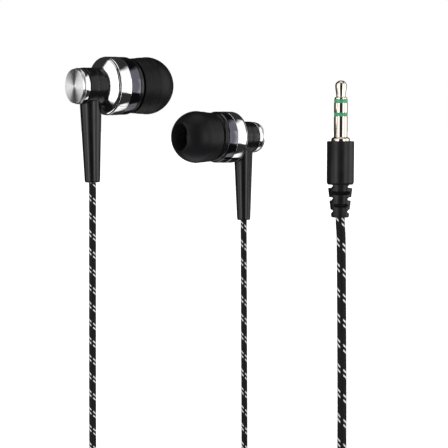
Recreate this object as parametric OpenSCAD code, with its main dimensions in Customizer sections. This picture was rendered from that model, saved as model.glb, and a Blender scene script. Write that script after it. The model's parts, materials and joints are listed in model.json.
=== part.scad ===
// Wired in-ear earphones: two metal earbuds with silicone tips, fabric-braided cords, a splitter
// and a 3.5 mm stereo plug. Millimetres, +Z up. The origin is where the wearer's head is, between
// the two ear tips. The stems point down, and the plug's pin points up, as into a socket.

/* [Earbud] */
// Diameter of the metal housing at its chrome band
housing_d = 13; // [12.6:0.1:14]
// Diameter of the black collar that carries the stem
collar_d = 8.1; // [7.9:0.1:8.8]
// Length of the collar along the earbud's axis
collar_len = 4.5; // [4.3:0.05:5]
// Diameter of the end cap's ring
cap_d = 7.9; // [7.6:0.1:8]
// Length of the end cap, from its spun face to the collar
cap_len = 2; // [1.7:0.05:2.1]
// Length of the chrome band
band_len = 2.7; // [2.6:0.05:3.2]
// Length of the dark chrome ring in front of it
ring_len = 2.6; // [2.3:0.05:2.8]
// Length of the front shell, from the chrome band to its face
front_len = 3.75; // [3.5:0.05:3.9]
// Diameter of the sound nozzle
nozzle_d = 5.1; // [5:0.1:5.2]

/* [Stem] */
// Diameter of the stem where it meets the collar
stem_top_d = 4.9; // [4.4:0.1:5]
// Diameter of the stem at the end that the cord leaves
stem_end_d = 3.4; // [3.2:0.05:3.5]
// Distance from the earbud's axis to the end of the stem
stem_drop = 21.25; // [18:0.05:24]

/* [Ear tip] */
// Diameter of the silicone ear tip
tip_d = 13; // [12:0.1:13.5]
// Length of the ear tip
tip_len = 9.5; // [9.2:0.05:10.2]

/* [Driver] */
// Diameter of the dynamic driver
driver_d = 10; // [9.8:0.1:10]
// Diameter of the voice coil's centreline
voice_coil_d = 5.7; // [5.6:0.05:5.8]

/* [Plug] */
// Diameter of the plug's pin
pin_d = 3.5; // [3.5]
// Diameter of the plug's moulded grip
grip_d = 7; // [6.6:0.1:7.6]
// Length of the grip's straight part
grip_len = 11; // [10:0.5:13]

/* [Cords] */
// Diameter of each earbud's cord
branch_d = 1.6; // [1.4:0.1:1.6]
// Diameter of the cord to the plug
main_d = 2.4; // [2.2:0.05:2.4]

/* [Hidden] */
$fn = 96;
fit = 0.02;         // radial gap between pieces that are pressed or glued together
glide = 0.05;       // radial gap of the ear tip over the nozzle's barb

// How each earbud is held: where its stem's axis crosses its own axis, the bearing that its ear tip
// points to, and its roll about its own axis. Both tips also point up a little.
holds = [["left", [-17.43, -23, 6.1], 38.75, 0], ["right", [16.98, 23, -6.1], 217.5, 1.8]];
tip_rise = 0.9;
stem_x = 4.2;       // the stem's axis, on the earbud's own axis

// Stations along the earbud's own axis, from the cap's face.
cone_x = cap_len + collar_len;
seam_x = cone_x + 1.35;
band_x = seam_x + 0.35;
front_x = band_x + band_len;
rim_x = front_x + ring_len;
face_x = front_x + front_len;
tip_x = face_x + 0.3;
nozzle_x = face_x + 6;

housing_r = housing_d / 2;
collar_r = collar_d / 2;
cap_r = cap_d / 2;
disc_r = cap_r - 0.2;
neck_r = 3;         // rear shell's tube, which the collar is threaded on
spigot_r = 5.85;    // where the shells plug into the chrome band
shell_r = driver_d / 2 + 0.05;
nozzle_r = nozzle_d / 2;
barb_r = nozzle_r + 0.17;
bore_r = 1.9;
branch_r = branch_d / 2;
main_r = main_d / 2;

// Driver stations, back to front.
board_x = 9.0;
yoke_x = 9.3;
frame_x = 10.0;
film_x = 11.75;
cover_x = 12.55;

// The plug hangs by its pin: everything is measured down from the pin's nose.
plug_at = [42, 23, 8.4];
pin_r = pin_d / 2;
pin_len = 14.45;
grip_top = 15.5;
relief_top = grip_top + grip_len;
relief_len = 8.6;
plug_len = relief_top + relief_len;

// The surface that the put-away cord lies on, and the coil on it.
ground = -101;
coil_at = [25, -15];
layer = 2.45;       // height of one layer of the coil
layers = 4;
coil_out = 14.8;    // centreline of the outermost turn
coil_in = 9;        // centreline of the innermost turn
coil_lift = 0.5;    // the tie's thickness, under the coil
lead_pitch = 3.7;   // how much closer each turn of the two earbud cords is
lead_gap = 1.75;    // between the two earbud cords' centrelines
lead_r = 26.6;      // the left cord's turn where it reaches the ring
lead_a = 245;       // and its bearing from the coil's middle

// ---- helpers ----

// A solid of revolution about the earbud's axis, from [radius, station] points.
module lathe(outline) rotate([0, 90, 0]) rotate_extrude() polygon(outline);

// A plain ring or disc about the earbud's axis.
module ring(outer, inner, x0, x1) lathe([[inner, x0], [outer, x0], [outer, x1], [inner, x1]]);

// A solid of revolution about the plug's axis, from [radius, distance below the nose] points.
module plug_lathe(outline) translate(plug_at) mirror([0, 0, 1]) rotate_extrude() polygon(outline);

// Puts a piece of the earbud where that earbud is held.
module held(side)
    for (h = holds) if (h[0] == side)
        translate(h[1]) rotate([h[3], -tip_rise, h[2]]) translate([-stem_x, 0, 0]) children();

// Points of a circular arc, as [radius, station] pairs, from angle a0 to a1.
function arc(middle, r, a0, a1, steps = 8) =
    [for (i = [0:steps]) let (a = a0 + (a1 - a0) * i / steps) middle + r * [cos(a), sin(a)]];

// ---- cap, collar and stem ----

// The spun disc stands proud of its ring, with a dark groove between them.
module cap_disc() color([0.86, 0.86, 0.88])
    lathe([[0, 0], [0.3, -0.02], [disc_r - 0.06, 0], [disc_r, 0.06], [disc_r, 0.3], [disc_r - 0.25, 0.36],
        [disc_r - 0.25, 0.6], [0, 0.6]]);

module cap_ring() color([0.8, 0.8, 0.82])
    lathe([[0, 0.61], [cap_r - 0.1, 0.61], [cap_r, 0.71], [cap_r, cap_len - 0.3],
        [cap_r - 0.1, cap_len - 0.2], [neck_r + 0.3, cap_len - 0.2], [neck_r + 0.3, cap_len - 0.02],
        [neck_r + fit, cap_len - 0.02], [neck_r + fit, 1], [0, 1]]);

// Moulded in two halves: the seam runs round the middle.
module collar() color([0.09, 0.09, 0.1]) {
    seam = 0.07;
    seam_at = cap_len + collar_len / 2;
    difference() {
        union() {
            lathe([[neck_r + fit, cap_len], [collar_r - 0.15, cap_len], [collar_r, cap_len + 0.15],
                [collar_r, seam_at - seam], [collar_r - seam, seam_at],
                [collar_r, seam_at + seam], [collar_r, cone_x - 0.15], [collar_r - 0.15, cone_x],
                [neck_r + fit, cone_x]]);
            translate([stem_x, 0, -8]) cylinder(r = 1.4, h = 4.6);
        }
        translate([stem_x, 0, -9]) cylinder(r = 1.05, h = 9);
    }
}

module stem() color([0.09, 0.09, 0.1])
    difference() {
        translate([stem_x, 0, 0]) mirror([0, 0, 1]) rotate_extrude()
            polygon([[0, 2.9], [stem_top_d / 2, 2.9], [stem_end_d / 2, stem_drop - 0.35],
                [stem_end_d / 2 - 0.3, stem_drop], [0, stem_drop]]);
        rotate([0, 90, 0]) cylinder(r = collar_r + fit, h = 12);
        translate([stem_x, 0, -8 - fit]) cylinder(r = 1.4 + fit, h = 8);
        translate([stem_x, 0, -stem_drop - 1]) cylinder(r = branch_r + 0.15, h = stem_drop);
    }

// ---- metal shells ----

module rear_shell() color([0.8, 0.8, 0.82])
    difference() {
        lathe([[neck_r - 0.5, 1.02], [neck_r, 1.02], [neck_r, cone_x + fit], [collar_r + 0.1, cone_x + fit],
            [collar_r + 0.35, cone_x + 0.12], [housing_r - 0.2, seam_x - 0.25], [housing_r - 0.1, seam_x],
            [spigot_r, seam_x], [spigot_r, band_x + 1.2], [spigot_r - 0.5, band_x + 1.2],
            [spigot_r - 0.5, seam_x + 0.1], [neck_r + 0.4, cone_x + 0.6], [neck_r - 0.5, cone_x]]);
        translate([stem_x, 0, -neck_r - 1]) cylinder(r = 1.1, h = neck_r + 1);
        for (s = [-1, 1]) rotate([90 * s, 0, 0]) translate([seam_x + 0.18, 0, 5]) cylinder(r = 0.15, h = 2);
    }

module seam_ring() color([0.04, 0.04, 0.04])
    ring(housing_r - 0.4, spigot_r + fit, seam_x + 0.01, band_x - 0.01);

module chrome_band() color([0.82, 0.82, 0.84])
    lathe([[spigot_r + fit, band_x], [housing_r - 0.12, band_x], [housing_r, band_x + 0.12],
        [housing_r, front_x - 0.12], [housing_r - 0.12, front_x - fit], [spigot_r + fit, front_x - fit]]);

module front_band() color([0.32, 0.31, 0.34])
    lathe([[spigot_r + fit, front_x], [housing_r - 0.12, front_x], [housing_r - 0.03, front_x + 0.1],
        [housing_r - 0.03, rim_x - 0.25], [housing_r - 0.2, rim_x - fit], [spigot_r + fit, rim_x - fit]]);

// The black shell carries both rings, and its nozzle carries the ear tip.
module front_shell() color([0.09, 0.09, 0.1])
    lathe([[shell_r, front_x - 1.3], [spigot_r, front_x - 1.3], [spigot_r, rim_x],
        [housing_r - 0.25, rim_x], [housing_r - 0.3, face_x - 0.3], [housing_r - 0.6, face_x],
        [nozzle_r, face_x], [nozzle_r, nozzle_x - 1.1], [barb_r, nozzle_x - 0.8],
        [barb_r, nozzle_x - 0.5], [nozzle_r - 0.1, nozzle_x], [bore_r + 0.2, nozzle_x],
        [bore_r + 0.2, nozzle_x - 0.3], [bore_r, nozzle_x - 0.3], [bore_r, face_x - 1.1],
        [shell_r, face_x - 1.1]]);

module nozzle_mesh() color([0.6, 0.6, 0.62])
    difference() {
        ring(bore_r + 0.2 - fit, 0, nozzle_x - 0.28, nozzle_x - 0.1);
        for (i = [-1:1], j = [-1:1]) translate([nozzle_x - 1, i * 0.95, j * 0.95])
            rotate([0, 90, 0]) cylinder(r = 0.3, h = 2, $fn = 24);
    }

module nozzle_foam() color([0.25, 0.25, 0.26])
    ring(bore_r - fit, 0, nozzle_x - 1.6, nozzle_x - 0.4);

// ---- driver ----

module driver_gasket() color([0.1, 0.1, 0.1])
    ring(shell_r - fit, shell_r - 0.9, cover_x + 0.3, face_x - 1.1 - fit);

module driver_cover() color([0.7, 0.7, 0.68])
    difference() {
        lathe([[0, cover_x], [shell_r - 0.4, cover_x], [shell_r - 0.4, cover_x - 0.3],
            [shell_r - 0.05, cover_x - 0.3], [shell_r - 0.05, cover_x + 0.28], [0, cover_x + 0.28]]);
        for (a = [0:60:300]) rotate([a, 0, 0]) translate([cover_x - 1, 0, 2.4])
            rotate([0, 90, 0]) cylinder(r = 0.45, h = 2, $fn = 24);
        translate([cover_x - 1, 0, 0]) rotate([0, 90, 0]) cylinder(r = 0.45, h = 2, $fn = 24);
    }

module driver_frame() color([0.75, 0.72, 0.6])
    difference() {
        lathe([[3.62, frame_x], [shell_r - 0.05, frame_x], [shell_r - 0.05, cover_x - 0.32],
            [shell_r - 0.4, cover_x - 0.32], [shell_r - 0.4, frame_x + 0.6], [3.62, frame_x + 0.35]]);
        for (a = [45:90:315]) rotate([a, 0, 0]) translate([frame_x - 1, 0, 4.1])
            rotate([0, 90, 0]) cylinder(r = 0.3, h = 2, $fn = 24);
    }

// A thin film: a dome over the voice coil and a half-roll surround outside it.
module diaphragm() color([0.85, 0.85, 0.8]) {
    dome_r = voice_coil_d / 2 + 0.15;
    edge_r = shell_r - 0.6;
    roll = (edge_r - dome_r) / 2;
    film = 0.12;
    rise = 0.3;
    top = [for (i = [0:6]) let (s = i / 6) [dome_r * s, film_x + film + rise * (1 - s * s)]];
    under = [for (i = [0:6]) let (s = 1 - i / 6) [dome_r * s, film_x + rise * (1 - s * s)]];
    over_roll = [for (i = [1:6]) let (a = 180 * i / 6)
        [dome_r + roll - roll * cos(a), film_x + film + 0.25 * sin(a)]];
    under_roll = [for (i = [6:-1:1]) let (a = 180 * i / 6)
        [dome_r + roll - roll * cos(a), film_x + 0.25 * sin(a)]];
    lathe(concat(top, over_roll, under_roll, under));
}

module voice_coil() color([0.72, 0.4, 0.2])
    ring(voice_coil_d / 2 + 0.1, voice_coil_d / 2 - 0.1, film_x - 1.15, film_x - 0.01);

module pole_plate() color([0.6, 0.6, 0.62])
    ring(2.58, 0, yoke_x + 1.42, yoke_x + 1.9);

module magnet() color([0.5, 0.5, 0.52])
    ring(2.5, 0, yoke_x + 0.42, yoke_x + 1.41);

module yoke() color([0.62, 0.62, 0.64])
    lathe([[0, yoke_x], [3.6, yoke_x], [3.6, yoke_x + 1.9], [3.12, yoke_x + 1.9],
        [3.12, yoke_x + 0.41], [0, yoke_x + 0.41]]);

module terminal_board() color([0.1, 0.35, 0.2]) {
    ring(2.6, 0, board_x, yoke_x - 0.01);
    for (s = [-1, 1]) translate([board_x - 0.12, s, 0]) rotate([0, 90, 0]) cylinder(r = 0.4, h = 0.12);
}

// Two enamelled wires from the cord's end, up into the neck and across to the board's pads.
module lead_wires() color([0.75, 0.35, 0.15])
    for (s = [-1, 1]) {
        wire = 0.16;
        rise = [stem_x, s * 0.45, -3.9];
        bend = [stem_x, s * 0.45, 0];
        pad = [board_x - 0.13, s, 0];
        translate(rise) cylinder(r = wire, h = bend[2] - rise[2], $fn = 24);
        translate(bend) sphere(r = wire, $fn = 24);
        translate(bend) rotate([0, 90, atan2(pad[1] - bend[1], pad[0] - bend[0])])
            cylinder(r = wire, h = norm(pad - bend), $fn = 24);
    }

module cord_crimp() color([0.75, 0.75, 0.7])
    translate([stem_x, 0, -7.9]) cylinder(r = 1.03, h = 3.9);

// ---- ear tip ----

// A soft skirt and dome, with a core tube that grips the nozzle. The annular hollow opens backwards.
module ear_tip() color([0.08, 0.08, 0.085]) {
    skirt = 0.5;
    tip_r = tip_d / 2;
    core_in = barb_r + glide;
    core_out = core_in + 0.9;
    front = tip_x + tip_len;
    dome_x = front - 5.6;
    outer_dome = arc([0, dome_x], tip_r, 0, 58, 12);
    inner_dome = arc([0, dome_x - 0.1], tip_r - skirt, 50, 0, 10);
    lathe(concat(
        [[tip_r - 0.45, tip_x], [tip_r - 0.3, tip_x + 0.25], [tip_r - 0.06, tip_x + 2]],
        outer_dome,
        arc([core_in + 0.36, front - 0.5], 0.42, 45, 180, 5),
        [[core_in, front - 1.2], [core_in, tip_x + 0.5], [core_out, tip_x + 0.5], [core_out, dome_x + 3.4]],
        inner_dome,
        [[tip_r - skirt - 0.1, tip_x + 1.2], [tip_r - skirt - 0.3, tip_x]]));
}

// ---- plug ----

module plug_tip_contact() color([0.85, 0.83, 0.8])
    plug_lathe([[0, 0], [0.55, 0], [1.25, 0.5], [1.5, 1], [1.5, 1.6], [1.2, 3.75], [1.2, 4.1],
        [1.55, 4.3], [1.55, 4.75], [0.5, 4.75], [0.5, 18.5], [0, 18.5]]);

module plug_ring_contact() color([0.85, 0.83, 0.8])
    plug_lathe([[0.7, 5.75], [pin_r, 5.75], [pin_r, 8.2], [0.98, 8.2], [0.98, 17.5], [0.7, 17.5]]);

module plug_sleeve_contact() color([0.85, 0.83, 0.8])
    plug_lathe([[1.22, 9.15], [pin_r, 9.15], [pin_r, pin_len], [2.1, pin_len + 0.15],
        [2.42, grip_top - 0.15], [2.42, grip_top], [2, grip_top], [2, grip_top + 2.5],
        [1.22, grip_top + 2.5]]);

module plug_insulators() color([0.1, 0.5, 0.32]) {
    plug_lathe([[0.52, 4.76], [pin_r, 4.76], [pin_r, 5.74], [0.68, 5.74], [0.68, 18], [0.52, 18]]);
    plug_lathe([[1, 8.21], [pin_r, 8.21], [pin_r, 9.14], [1.2, 9.14], [1.2, 17.2], [1, 17.2]]);
}

// Three small plates that the cord's wires are soldered to, one on each contact's tail.
module plug_solder_lugs() color([0.8, 0.78, 0.7]) {
    thick = 0.25;
    translate(plug_at - [thick / 2, 0.5, 20.6]) cube([thick, 1, 2.05]);
    translate(plug_at - [-0.72, 0.4, 19.6]) cube([thick, 0.8, 2.05]);
    translate(plug_at - [1.65, 0.6, 20.2]) cube([thick, 1.2, 2.15]);
}

// Moulded grip and its slotted strain relief.
module plug_grip() color([0.1, 0.1, 0.11]) {
    slot = 1;
    slot_step = 1.62;
    grip_r = grip_d / 2;
    core_r = 1.72;
    difference() {
        plug_lathe([[2.03, grip_top + 0.01], [grip_r - 0.25, grip_top + 0.01],
            [grip_r, grip_top + 0.25], [grip_r, relief_top - 0.6], [grip_r - 0.25, relief_top],
            [2.35, plug_len - 0.1], [2.2, plug_len], [main_r + 0.1, plug_len],
            [main_r + 0.1, relief_top - 2.6], [2.03, relief_top - 2.6], [2.03, grip_top + 0.01]]);
        for (i = [0:4]) translate(plug_at - [0, 0, relief_top + 0.1 + i * slot_step + slot])
            rotate([0, 0, i % 2 == 0 ? 0 : 90]) for (s = [-1, 1]) mirror([s < 0 ? 1 : 0, 0, 0])
                translate([core_r, -4, 0]) cube([4, 8, slot]);
    }
}

// ---- cords ----

// Bearings turn round the coil's middle. Each earbud cord's turns close in by lead_pitch a turn.
function round_coil(r, a, z) = [coil_at[0] + r * cos(a), coil_at[1] + r * sin(a), ground + z];
function lead(gap, a) = round_coil(lead_r - gap - lead_pitch * (a - lead_a) / 360, a, branch_r);

// The splitter lies beside the coil. Its axis slopes 4 in 3, seen from above.
splitter_at = [39.8, -26.1];
splitter_d = 4.4;
fork = 0.9;         // half the distance between its two branch holes
module beside_coil() translate([splitter_at[0], splitter_at[1], ground + splitter_d / 2])
    rotate([0, 0, atan2(4, 3)]) children();

left_drop = [[-17.33, -22.92, -1.82], [-17.17, -22.79, -15.15], [-17.18, -22.75, -19], [-17.37, -22.9, -41],
    [-17.6, -23, -72], [-17.6, -23, -86], [-17.3, -23.1, -93], [-16.3, -23.5, -97.5], [-13.5, -24.8, -99.6],
    [-9, -27, -100.2], [3, -32.8, -100.2]];
left_end = [[28.1, -37.2, -100.1], [32.8, -35, -99.3], [36.32, -32.24, -98.8], [38.72, -29.04, -98.8]];
right_drop = [[17.04, 22.71, -14.02], [17.12, 22.27, -27.34], [17.13, 22.15, -31], [17.25, 22.3, -55],
    [17.4, 22.6, -88], [17.2, 22.2, -95], [16.2, 20.8, -98.8], [14, 17, -100.1], [10.5, 11, -100.2],
    [3.4, 0.2, -100.2]];
right_end = [[27.7, -35.5, -100.1], [31.8, -33.6, -99.3], [34.88, -31.16, -98.8], [37.28, -27.96, -98.8]];

left_turns = [for (a = [lead_a:20:lead_a + 380]) lead(0, a)];
right_turns = [for (a = [165:20:lead_a + 380]) lead(lead_gap, a)];

// From the splitter the cord closes in on the coil's first turn, and the last turn runs up to the plug.
inlet_a = 11;       // bearing where the first turn begins
inlet_r = 20.8;     // and its radius there
inlet_sweep = 120;  // it has closed in after this much
main_start = [[41, -24.5, -98.8], [44, -20.5, -98.8], [45.5, -17.6, -99], [46, -14.5, -99.3]];
main_inlet = [for (s = [0:1 / 8:7 / 8])
    round_coil(inlet_r + (coil_out - inlet_r) * s, inlet_a + inlet_sweep * s, coil_lift + layer / 2)];
main_drop = [[39.8, -16, -91.92], [40.3, -10, -92.5], [40.9, -3, -94.1], [41.4, 4, -95.9],
    [41.9, 11, -96.2], [42.4, 17, -93.8], [42.8, 21, -89.2], [42.9, 22.7, -83], [42.9, 23, -76],
    [42.6, 23, -50], [42.35, 23, -33], [42.05, 23, -26.7], [42, 23, -12.8]];

// A tube swept along points, with a flat end on each.
function unit(v) = v / norm(v);
function along(p, i) = unit(p[min(i + 1, len(p) - 1)] - p[max(i - 1, 0)]);
function square_to(d, last) = unit(last - (last * d) * d);
function sides_of(p, i = 0, last = [0, 1, 0.3]) =
    let (u = square_to(along(p, i), last)) i == len(p) - 1 ? [u] : concat([u], sides_of(p, i + 1, u));
module tube(p, r, sides = 8) {
    u = sides_of(p);
    rim = [for (i = [0:len(p) - 1]) let (v = cross(along(p, i), u[i]))
        for (k = [0:sides - 1]) p[i] + r * (cos(360 * k / sides) * u[i] + sin(360 * k / sides) * v)];
    walls = [for (i = [0:len(p) - 2], k = [0:sides - 1])
        let (a = i * sides + k, b = i * sides + (k + 1) % sides) [a, a + sides, b + sides, b]];
    start = [for (k = [0:sides - 1]) k];
    end = [for (k = [sides - 1:-1:0]) (len(p) - 1) * sides + k];
    polyhedron(rim, concat(walls, [start, end]));
}

module left_cord() color([0.07, 0.07, 0.07]) tube(concat(left_drop, left_turns, left_end), branch_r);

module right_cord() color([0.07, 0.07, 0.07]) tube(concat(right_drop, right_turns, right_end), branch_r);

module main_cord() color([0.07, 0.07, 0.07]) {
    tube(concat(main_start, main_inlet), main_r);
    tube(main_drop, main_r);
}

module main_coil() color([0.07, 0.07, 0.07]) translate([coil_at[0], coil_at[1], ground + coil_lift])
    rotate_extrude() polygon([[coil_in - main_r, 0.4], [coil_in - main_r + 0.4, 0],
        [coil_out + main_r - 0.4, 0], [coil_out + main_r, 0.4], [coil_out + main_r, layer * layers - 0.4],
        [coil_out + main_r - 0.4, layer * layers], [coil_in - main_r + 0.4, layer * layers],
        [coil_in - main_r, layer * layers - 0.4]]);

module coil_tie() color([0.05, 0.05, 0.05]) {
    strap = 3;
    wide = coil_out - coil_in + 2.5;
    tall = layer * layers + 0.1;
    translate([coil_at[0], coil_at[1], ground]) rotate([0, 0, 200])
        translate([(coil_in + coil_out) / 2 + 0.1, 0, 0]) difference() {
            translate([-wide / 2 - 0.5, -strap / 2, 0]) cube([wide + 1, strap, tall + 1]);
            translate([-wide / 2, -strap, coil_lift - 0.05]) cube([wide, 2 * strap, tall]);
        }
}

module splitter_sleeve() color([0.1, 0.1, 0.11]) beside_coil() difference() {
    rotate([0, 90, 0]) rotate_extrude() polygon([[0, -7], [1.9, -7], [splitter_d / 2, -6.7],
        [splitter_d / 2, 4], [1.7, 6.8], [1.5, 7], [0, 7]]);
    for (s = [-1, 1]) translate([-8, s * fork, 0]) rotate([0, 90, 0]) cylinder(r = branch_r + 0.04, h = 5);
    translate([-3.1, 0, 0]) rotate([0, 90, 0]) cylinder(r = 1.4, h = 5.1);
    rotate([0, 90, 0]) cylinder(r = main_r + 0.05, h = 8);
}

module splitter_crimp() color([0.7, 0.6, 0.3]) beside_coil()
    translate([-2.9, 0, 0]) rotate([0, 90, 0]) difference() {
        cylinder(r = 1.35, h = 4.7);
        translate([0, 0, -1]) cylinder(r = 0.9, h = 7);
    }

// ---- assembly ----

for (side = ["left", "right"]) {
    held(side) cap_disc();
    held(side) cap_ring();
    held(side) collar();
    held(side) stem();
    held(side) rear_shell();
    held(side) seam_ring();
    held(side) chrome_band();
    held(side) front_band();
    held(side) front_shell();
    held(side) nozzle_mesh();
    held(side) nozzle_foam();
    held(side) driver_gasket();
    held(side) driver_cover();
    held(side) driver_frame();
    held(side) diaphragm();
    held(side) voice_coil();
    held(side) pole_plate();
    held(side) magnet();
    held(side) yoke();
    held(side) terminal_board();
    held(side) lead_wires();
    held(side) cord_crimp();
    held(side) ear_tip();
}
plug_tip_contact();
plug_ring_contact();
plug_sleeve_contact();
plug_insulators();
plug_solder_lugs();
plug_grip();
splitter_sleeve();
splitter_crimp();
left_cord();
right_cord();
main_cord();
main_coil();
coil_tie();
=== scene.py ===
# %% [markdown]
# # Wired earphones
# Two metal earbuds with silicone tips hang from the wearer's ears, so their stems and braided cords
# hang straight down. The plug points up, as it does in a socket. The rest of the cord is put away in
# a small coil. The CAD frame holds every size and joint. This script adds what the eye sees: turned
# and moulded skins with soft edges, the cords at their real length, and the finishes.

# %% Load the frame
import json
from math import atan2, cos, pi, radians, sin

import bmesh
import bpy
import numpy as np
from mathutils import Matrix, Vector


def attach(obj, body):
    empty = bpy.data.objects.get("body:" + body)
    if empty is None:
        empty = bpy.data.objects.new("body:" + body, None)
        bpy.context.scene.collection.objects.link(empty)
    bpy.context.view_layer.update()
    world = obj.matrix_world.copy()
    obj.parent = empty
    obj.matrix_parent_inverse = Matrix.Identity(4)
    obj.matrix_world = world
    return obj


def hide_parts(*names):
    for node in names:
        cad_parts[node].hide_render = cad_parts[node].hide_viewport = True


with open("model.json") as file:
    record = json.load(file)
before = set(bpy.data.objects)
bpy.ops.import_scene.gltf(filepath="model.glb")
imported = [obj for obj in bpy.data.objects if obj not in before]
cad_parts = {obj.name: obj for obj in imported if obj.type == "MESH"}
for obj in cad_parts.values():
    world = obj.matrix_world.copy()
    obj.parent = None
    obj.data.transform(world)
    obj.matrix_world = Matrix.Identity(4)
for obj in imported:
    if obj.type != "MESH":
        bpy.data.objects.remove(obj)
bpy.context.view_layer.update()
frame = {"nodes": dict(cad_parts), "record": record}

MM = 0.001

# %% [markdown]
# ## Camera
# A long lens stands about 31 cm in front, level with the earbuds, and looks 5 degrees down. A long lens
# keeps the far earbud nearly as large as the near one, and the coil stays below the picture.

# %% Camera
lens = bpy.data.cameras.new("camera")
lens.lens = 103.7
lens.sensor_width = 36
lens.clip_start = 0.01
camera = bpy.data.objects.new("camera", lens)
camera.location = (0.01205, -0.3091, 0.0006)
camera.rotation_euler = (radians(85), 0, 0)
bpy.context.scene.collection.objects.link(camera)
bpy.context.scene.camera = camera
print("camera", tuple(camera.location))

# %% [markdown]
# ## Where things are
# Both earbuds are the same part. Its own axis runs along +X from the end cap to the ear tip, and its
# stem points down. `held` is the matrix that puts it in the left or the right ear: first the small
# roll and rise that each bud hangs with, then the bearing, then the place of its stem. The plug's own
# +X runs from its nose down to its cord. Lengths are written in millimetres, and MM makes them metres.

# %% Places
HOLDS = {"left": ((-17.43, -23, 6.1), 38.75, 0), "right": ((16.98, 23, -6.1), 217.5, 1.8)}
SIDES = tuple(HOLDS)
TIP_RISE = radians(0.9)
STEM_X = 4.2
STEM_DROP = 21.25
PLUG_AT = Vector((42, 23, 8.4)) * MM


def held(side):
    crossing, bearing, roll = HOLDS[side]
    turn = Matrix.Rotation(radians(bearing), 4, "Z") @ Matrix.Rotation(-TIP_RISE, 4, "Y")
    turn @= Matrix.Rotation(radians(roll), 4, "X")
    return Matrix.Translation(Vector(crossing) * MM) @ turn @ Matrix.Translation((-STEM_X * MM, 0, 0))


plug_place = Matrix.Translation(PLUG_AT) @ Matrix.Rotation(pi / 2, 4, "Y")
stem_ends = {side: held(side) @ Vector((STEM_X * MM, 0, -STEM_DROP * MM)) for side in SIDES}
print("stems end at", {side: [round(v, 4) for v in end] for side, end in stem_ends.items()})

# %% [markdown]
# ## Turned shapes
# Nearly every shell is turned or moulded round, so one helper spins an outline about the +X axis. An
# outline is a closed list of corners: radius, station along the axis, and how much the corner is
# rounded, all in millimetres. Real edges are never sharp, and the small roundings catch the light.
# Its UV map holds the angle (0 to 1) across and the distance along the outline (mm) up, so that a
# finish can follow the turning marks.

# %% Spin an outline
MOST_OF_SIDE = 0.45  # a rounding never takes more than this share of a side
SHARP = radians(32)  # faces that meet at less than this are shaded as one smooth surface


def rounded(outline):
    """The outline's points, with each soft corner replaced by a short curve."""
    points = []
    for i, (r, x, soft) in enumerate(outline):
        here = Vector((r, x))
        back = Vector(outline[i - 1][:2]) - here
        ahead = Vector(outline[(i + 1) % len(outline)][:2]) - here
        if not soft:
            points.append(here)
            continue
        start = here + back * min(soft / back.length, MOST_OF_SIDE)
        end = here + ahead * min(soft / ahead.length, MOST_OF_SIDE)
        for t in (0, 0.25, 0.5, 0.75, 1):
            points.append(start * (1 - t) ** 2 + here * (2 * t * (1 - t)) + end * t * t)
    return points


def spin(name, outline, steps=144):
    """A mesh turned about the +X axis from a closed outline of (radius, station, rounding)."""
    bm = bmesh.new()
    uv = bm.loops.layers.uv.new("turned")
    points = rounded(outline)
    runs = [0]
    for a, b in zip(points, points[1:] + points[:1]):
        runs.append(runs[-1] + (b - a).length)
    rings = []
    for r, x in points:
        if r < 1e-6:
            rings.append([bm.verts.new((x * MM, 0, 0))] * steps)
        else:
            angles = [2 * pi * k / steps for k in range(steps)]
            rings.append([bm.verts.new((x * MM, r * MM * cos(a), r * MM * sin(a))) for a in angles])
    for j, ring in enumerate(rings):
        other = rings[(j + 1) % len(rings)]
        for k in range(steps):
            corners = [(ring[k], k, runs[j]), (ring[(k + 1) % steps], k + 1, runs[j]),
                       (other[(k + 1) % steps], k + 1, runs[j + 1]), (other[k], k, runs[j + 1])]
            kept = [c for i, c in enumerate(corners) if c[0] not in [d[0] for d in corners[:i]]]
            if len(kept) < 3:
                continue
            face = bm.faces.new([c[0] for c in kept])
            for loop, (_, u, v) in zip(face.loops, kept):
                loop[uv].uv = (u / steps, v)
    return mesh_of(name, bm)


def mesh_of(name, bm):
    bmesh.ops.recalc_face_normals(bm, faces=bm.faces)
    mesh = bpy.data.meshes.new(name)
    bm.to_mesh(mesh)
    bm.free()
    mesh.shade_smooth()
    mesh.set_sharp_from_angle(angle=SHARP)
    return mesh


def stand(name, mesh):
    """A new object in the scene."""
    thing = bpy.data.objects.new(name, mesh)
    bpy.context.scene.collection.objects.link(thing)
    return thing


def piece(name, mesh, place, body, slot, *nodes, finish_name=None):
    """A visible piece: it rides on a body, takes a slot's finish and stands for the CAD nodes named."""
    mesh.transform(place)
    thing = stand(name, mesh)
    mesh.materials.append(finishes[finish_name or slot])
    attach(thing, body)
    if nodes:
        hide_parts(*nodes)
    return thing


def cut(mesh, *tools):
    """The mesh with the tool meshes cut out of it."""
    thing = stand("blank", mesh)
    cutters = [stand("cutter", tool) for tool in tools]
    for cutter in cutters:
        modifier = thing.modifiers.new("cut", "BOOLEAN")
        modifier.object = cutter
        modifier.solver = "EXACT"
    bpy.context.view_layer.update()
    result = bpy.data.meshes.new_from_object(thing.evaluated_get(bpy.context.evaluated_depsgraph_get()))
    for used in [thing, *cutters]:
        bpy.data.objects.remove(used)
    result.set_sharp_from_angle(angle=SHARP)
    return result


print("helpers ready")

# %% [markdown]
# ## Shared effects
# Three effects come back in many finishes, so each is a node group. *Fine grain* is the tiny
# unevenness of moulded or plated skin. *Handling* is the faint cloudiness that fingers leave, which
# changes the roughness. *Turning marks* are the fine grooves of a lathe, which follow the outline.

# %% Node group helper


def new_group(name, inputs, outputs):
    """A node group whose inputs have the default values given, with its input and output nodes."""
    tree = bpy.data.node_groups.new(name, "ShaderNodeTree")
    for socket, value in inputs.items():
        made = tree.interface.new_socket(socket, in_out="INPUT", socket_type="NodeSocketFloat")
        made.default_value = value
    for socket in outputs:
        tree.interface.new_socket(socket, in_out="OUTPUT", socket_type="NodeSocketFloat")
    return tree, tree.nodes.new("NodeGroupInput"), tree.nodes.new("NodeGroupOutput")


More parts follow.
